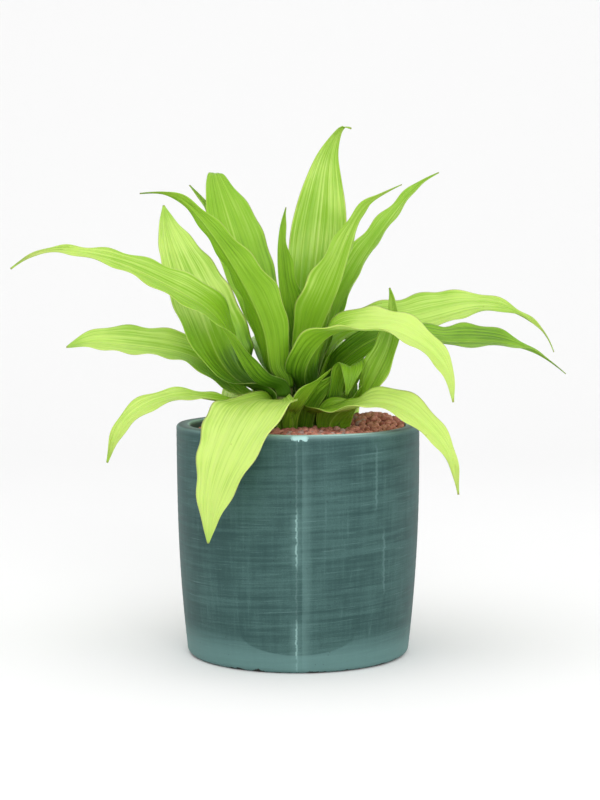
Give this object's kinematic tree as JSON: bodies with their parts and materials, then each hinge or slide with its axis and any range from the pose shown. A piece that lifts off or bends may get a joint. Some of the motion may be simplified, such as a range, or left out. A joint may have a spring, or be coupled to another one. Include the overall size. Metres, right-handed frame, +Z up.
{
  "type": "potted plant",
  "caption": "Dracaena with broad arching lime-green leaves on short canes, standing in clay granules in a nearly straight glazed round pot.",
  "frame": {"origin": "centre of the pot's flat underside, where the part stands on a floor or shelf", "axes": "+Z up along the pot's axis, -Y towards the pictured side, +X to the right as seen in the picture"},
  "size_m": [0.3999, 0.2776, 0.3898],
  "materials": {
    "pot_glaze": "satin",
    "granules": "matte",
    "cane": "matte",
    "leaf_green": "satin",
    "leaf_pale": "satin",
    "leaf_deep": "satin"
  },
  "bodies": {
    "root": {"pot": "pot_glaze", "granules": "granules", "cane_left": "cane", "cane_middle": "cane", "cane_right": "cane", "leaf_far_left": "leaf_green", "leaf_left_broad": "leaf_deep", "leaf_left_over": "leaf_green", "leaf_upper_left": "leaf_green", "leaf_upper_left_back": "leaf_green", "leaf_young": "leaf_green", "leaf_crown": "leaf_pale", "leaf_crown_front": "leaf_green", "leaf_upper_right": "leaf_green", "leaf_right_upright": "leaf_green", "leaf_front_right": "leaf_pale", "leaf_right_high": "leaf_pale", "leaf_right_long": "leaf_deep", "leaf_low_right": "leaf_pale", "leaf_front_drop": "leaf_pale", "leaf_low_left": "leaf_pale", "leaf_left_mid": "leaf_pale", "leaf_small_front": "leaf_green", "leaf_small_fold": "leaf_green", "leaf_back_left": "leaf_green", "leaf_back": "leaf_green", "leaf_back_right": "leaf_green", "leaf_back_low_left": "leaf_pale", "leaf_back_low_right": "leaf_pale"}
  },
  "joints": []
}
